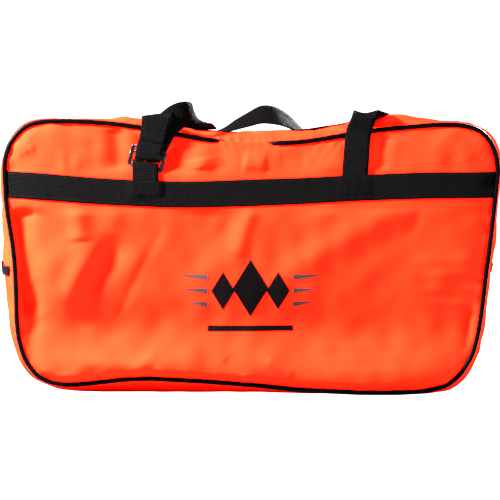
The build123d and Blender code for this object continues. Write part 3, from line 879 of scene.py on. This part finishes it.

# sewn squares where the straps meet the band
for cx, z0, z1, nm, yl in ((148.5, 301, 321, "right", 4.0), (-153.8, 300, 314, "left", 5.6)):
    pts = []
    for ax, az in ((cx - 15, z0), (cx + 15, z0), (cx + 15, z1), (cx - 15, z1), (cx - 15, z0), (cx + 15, z1)):
        pts.append((ax, py(ax, az, yl), az))
    dense = []
    for p, q in zip(pts[:-1], pts[1:]):
        for t in np.linspace(0, 1, 8, endpoint=False):
            x, z = p[0] * (1 - t) + q[0] * t, p[2] * (1 - t) + q[2] * t
            dense.append((x, py(x, z, yl), z))
    st = stitch_row("strap_stitches_" + nm, dense, (0, -1, 0))
    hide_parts("front_bar_tacks")
    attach(st, "front_leaf")

# ---------------------------------------------------------------- rear straps and handle
def ry(x, z, lift):
    return float(panel_rear(np.array([x]), np.array([z]))[0]) + lift


def rear_top(x, y, lift):
    return top_z(x, y) + lift


RW = (1, 0, 0)
rear_handle = ribbon("rear_handle_webbing", [
    key(150, ry(150, 302, 1.2), 302), key(150, ry(150, 320, 1.3), 320), key(150, ry(150, 350, 2.2), 350), key(149.6, 108.6, 362),
    key(149, 108.8, 373), key(147, 104.0, 380.0, (1, 0.1, 0)), key(140, 93, 382.0, (0.8, 0.6, 0)), key(124, 83, rear_top(124, 83, 2.6), (0.3, 0.95, 0)),
    key(102, 78, rear_top(102, 78, 2.6), (0.0, 1, 0)), key(84, 72, 381, (-0.05, 1, 0.25)), key(66, 64, 394, (-0.30, 0.8, 0.62)), key(44, 58, 405.5, (-0.2, 0.75, 0.72)),
    key(22, 56, 409, (0.05, 0.75, 0.72)), key(2, 58, 402.5, (0.2, 0.8, 0.64)), key(-20, 64, 393.5, (0.2, 0.9, 0.45)), key(-46, 72, 382.0, (0.1, 1, 0.15)),
    key(-80, 80, rear_top(-80, 80, 3.2), (0, 1, 0)), key(-112, 83, rear_top(-112, 83, 3.4), (-0.2, 0.97, 0)), key(-136, 92, 388.5, (-0.75, 0.65, 0)),
    key(-147, 104.0, 387.5, (-1, 0.1, 0)), key(-149, 108.8, 380, (-1, 0, 0)), key(-149.6, 108.6, 368, (-1, 0, 0)),
    key(-150, ry(-150, 350, 2.2), 350, (-1, 0, 0)), key(-150, ry(-150, 320, 1.3), 320, (-1, 0, 0)), key(-150, ry(-150, 302, 1.2), 302, (-1, 0, 0))])
give(rear_handle, WEBBING)
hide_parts("rear_handle_loop", "rear_strap_left", "rear_strap_right")
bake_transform(rear_handle)
for cx, nm in ((150, "right"), (-150, "left")):
    dense = []
    sq = ((cx - 15, 294), (cx + 15, 294), (cx + 15, 316), (cx - 15, 316), (cx - 15, 294), (cx + 15, 316))
    for p, q in zip(sq[:-1], sq[1:]):
        for t in np.linspace(0, 1, 8, endpoint=False):
            x, z = p[0] * (1 - t) + q[0] * t, p[1] * (1 - t) + q[1] * t
            dense.append((x, ry(x, z, 4.3), z))
    st = stitch_row("rear_strap_stitches_" + nm, dense, (0, 1, 0))
    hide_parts("rear_bar_tacks")
    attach(st, "root")

# ---------------------------------------------------------------- generic print on the front panel
def patch(corners, nu, nv):
    a, b, c, d = [np.array(p, float) for p in corners]
    u, v = np.meshgrid(np.linspace(0, 1, nu), np.linspace(0, 1, nv), indexing="ij")
    P = (a * (1 - u)[..., None] + b * u[..., None]) * (1 - v)[..., None] + (d * (1 - u)[..., None] + c * u[..., None]) * v[..., None]
    return P.reshape(-1, 2), nu, nv


def print_mesh(name, patches, mat):
    verts, faces = [], []
    for P, nu, nv in patches:
        k = len(verts)
        y = panel_front(P[:, 0], P[:, 1]) - 0.45
        verts += [(x, yy, z) for (x, z), yy in zip(P, y)]
        faces += [tuple(i + k for i in f) for f in grid_faces(nu, nv)]
    ob = give(mesh(name, verts, faces), mat)
    outward(ob, (0, -1, 0))
    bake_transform(ob)
    return ob


EX, EZ = -2.0, 152.0
dia = []
for dx, dz, w, h in ((0, 10, 26, 42), (-40, 6, 17, 28), (40, 6, 17, 28)):
    cx, cz = EX + dx, EZ + dz
    dia.append(patch([(cx - w, cz), (cx, cz - h), (cx + w, cz), (cx, cz + h)], 14, 14))
dia.append(patch([(EX - 62, EZ - 53), (EX + 62, EZ - 53), (EX + 62, EZ - 45), (EX - 62, EZ - 45)], 40, 4))
print_mesh("print_dark", dia, PRINT)
lines = []
for s in (-1, 1):
    for k, dz in enumerate((26, 6, -14)):
        x0, x1 = EX + s * 62, EX + s * (98 - 6 * k)
        z = EZ + dz
        lines.append(patch([(x0, z - 4.2), (x1, z - 1.2 + 3), (x1, z + 1.2 + 3), (x0, z + 4.2)], 16, 4))
print_mesh("print_grey", lines, PRINT_G)

# ---------------------------------------------------------------- floor, world, lights and camera
bpy.ops.mesh.primitive_plane_add(size=14, location=(0, 2.0, 0))
floor = bpy.context.object
floor.name = "floor"
fm = material("pale floor", (0.42, 0.42, 0.42), 0.95, spec=0.0)
fm.node_tree.nodes["Principled BSDF"].inputs["Emission Color"].default_value = (1, 1, 1, 1)
bsdf = fm.node_tree.nodes["Principled BSDF"]
bsdf.inputs["Emission Strength"].default_value = 0.25
seen = fm.node_tree.nodes.new("ShaderNodeLightPath")
white = fm.node_tree.nodes.new("ShaderNodeEmission")
white.inputs["Strength"].default_value = 1.05
mix = fm.node_tree.nodes.new("ShaderNodeMixShader")
fac = fm.node_tree.nodes.new("ShaderNodeMath")
fac.operation = "MULTIPLY"
fac.inputs[1].default_value = 0.85
fm.node_tree.links.new(seen.outputs["Is Camera Ray"], fac.inputs[0])
fm.node_tree.links.new(fac.outputs[0], mix.inputs[0])
fm.node_tree.links.new(bsdf.outputs[0], mix.inputs[1])
fm.node_tree.links.new(white.outputs[0], mix.inputs[2])
fm.node_tree.links.new(mix.outputs[0], fm.node_tree.nodes["Material Output"].inputs["Surface"])
give(floor, fm)

world = bpy.data.worlds.new("white")
bpy.context.scene.world = world
world.use_nodes = True
world.node_tree.nodes["Background"].inputs["Color"].default_value = (1, 1, 1, 1)
wt = world.node_tree
seen = wt.nodes.new("ShaderNodeLightPath")
level = wt.nodes.new("ShaderNodeMapRange")
level.inputs["To Min"].default_value = 0.52
level.inputs["To Max"].default_value = 1.05
wt.links.new(seen.outputs["Is Camera Ray"], level.inputs["Value"])
wt.links.new(level.outputs["Result"], wt.nodes["Background"].inputs["Strength"])


def area(name, loc, target, size, power):
    ld = bpy.data.lights.new(name, "AREA")
    ld.shape = "RECTANGLE"
    ld.size, ld.size_y = size
    ld.energy = power
    ob = bpy.data.objects.new(name, ld)
    ob.location = loc
    ob.rotation_euler = (Vector(target) - Vector(loc)).to_track_quat("-Z", "Y").to_euler()
    bpy.context.scene.collection.objects.link(ob)
    return ob


area("key", (-1.45, -0.62, 1.30), (-0.1, 0, 0.2), (0.3, 0.3), 460)
area("back", (1.3, 1.7, 1.25), (0, 0.1, 0.22), (0.6, 0.6), 260)
area("right", (1.9, -0.75, 1.0), (0, 0, 0.2), (0.5, 0.5), 90)

az, el = math.radians(-1.5), math.radians(4.0)
target = Vector((0, 0.0028, 0.2101))
back = Vector((math.sin(az) * math.cos(el), -math.cos(az) * math.cos(el), math.sin(el)))
cd = bpy.data.cameras.new("camera")
cam = bpy.data.objects.new("camera", cd)
bpy.context.scene.collection.objects.link(cam)
cam.location = target + back * 5.0
cam.rotation_euler = (-back).to_track_quat("-Z", "Y").to_euler()
cd.sensor_width = 36.0
cd.lens = 36.0 * 5.0 / 0.74
cd.clip_end = 60
bpy.context.scene.camera = cam
bpy.context.scene.view_settings.view_transform = "Standard"
bpy.context.scene.view_settings.look = "Very High Contrast"
